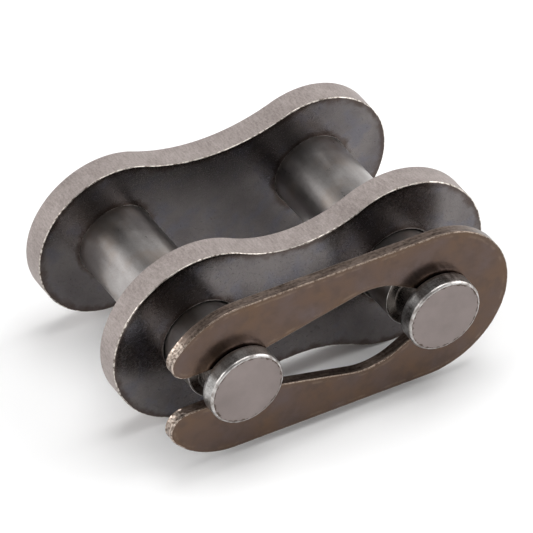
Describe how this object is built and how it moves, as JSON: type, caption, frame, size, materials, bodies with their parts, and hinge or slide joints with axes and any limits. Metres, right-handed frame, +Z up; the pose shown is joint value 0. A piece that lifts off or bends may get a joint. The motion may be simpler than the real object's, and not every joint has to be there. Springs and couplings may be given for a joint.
{
  "type": "chain connecting link",
  "caption": "Spring-clip connecting link for a roller chain: two pins pressed in a waisted rear plate, a sliding cover plate, and a flat clip in the pin grooves.",
  "frame": {"origin": "halfway between the two pin axes and halfway along the pins", "axes": "+X along the chain towards the clip's closed end, -Y along the pins towards the clip, +Z up across the plates' height"},
  "size_m": [0.0238, 0.0168, 0.011],
  "materials": {
    "plate_steel": "dark heat-treated carbon steel, with lighter matte punched edges",
    "pin_steel": "satin ground alloy steel",
    "clip_steel": "bronze-brown tempered spring steel"
  },
  "bodies": {
    "link": {"rear_outer_plate": "plate_steel", "pin_left": "pin_steel", "pin_right": "pin_steel"},
    "cover": {"cover_plate": "plate_steel"},
    "clip": {"spring_clip": "clip_steel"}
  },
  "joints": [
    {"name": "cover_slide", "type": "slide", "parent": "link", "child": "cover", "axis": [0, -1, 0], "range_m": [-0.0078, 0.0033]},
    {"name": "clip_slide", "type": "slide", "parent": "link", "child": "clip", "axis": [1, 0, 0], "range_m": [0, 0.0043], "deforming": ["spring_clip"]}
  ]
}
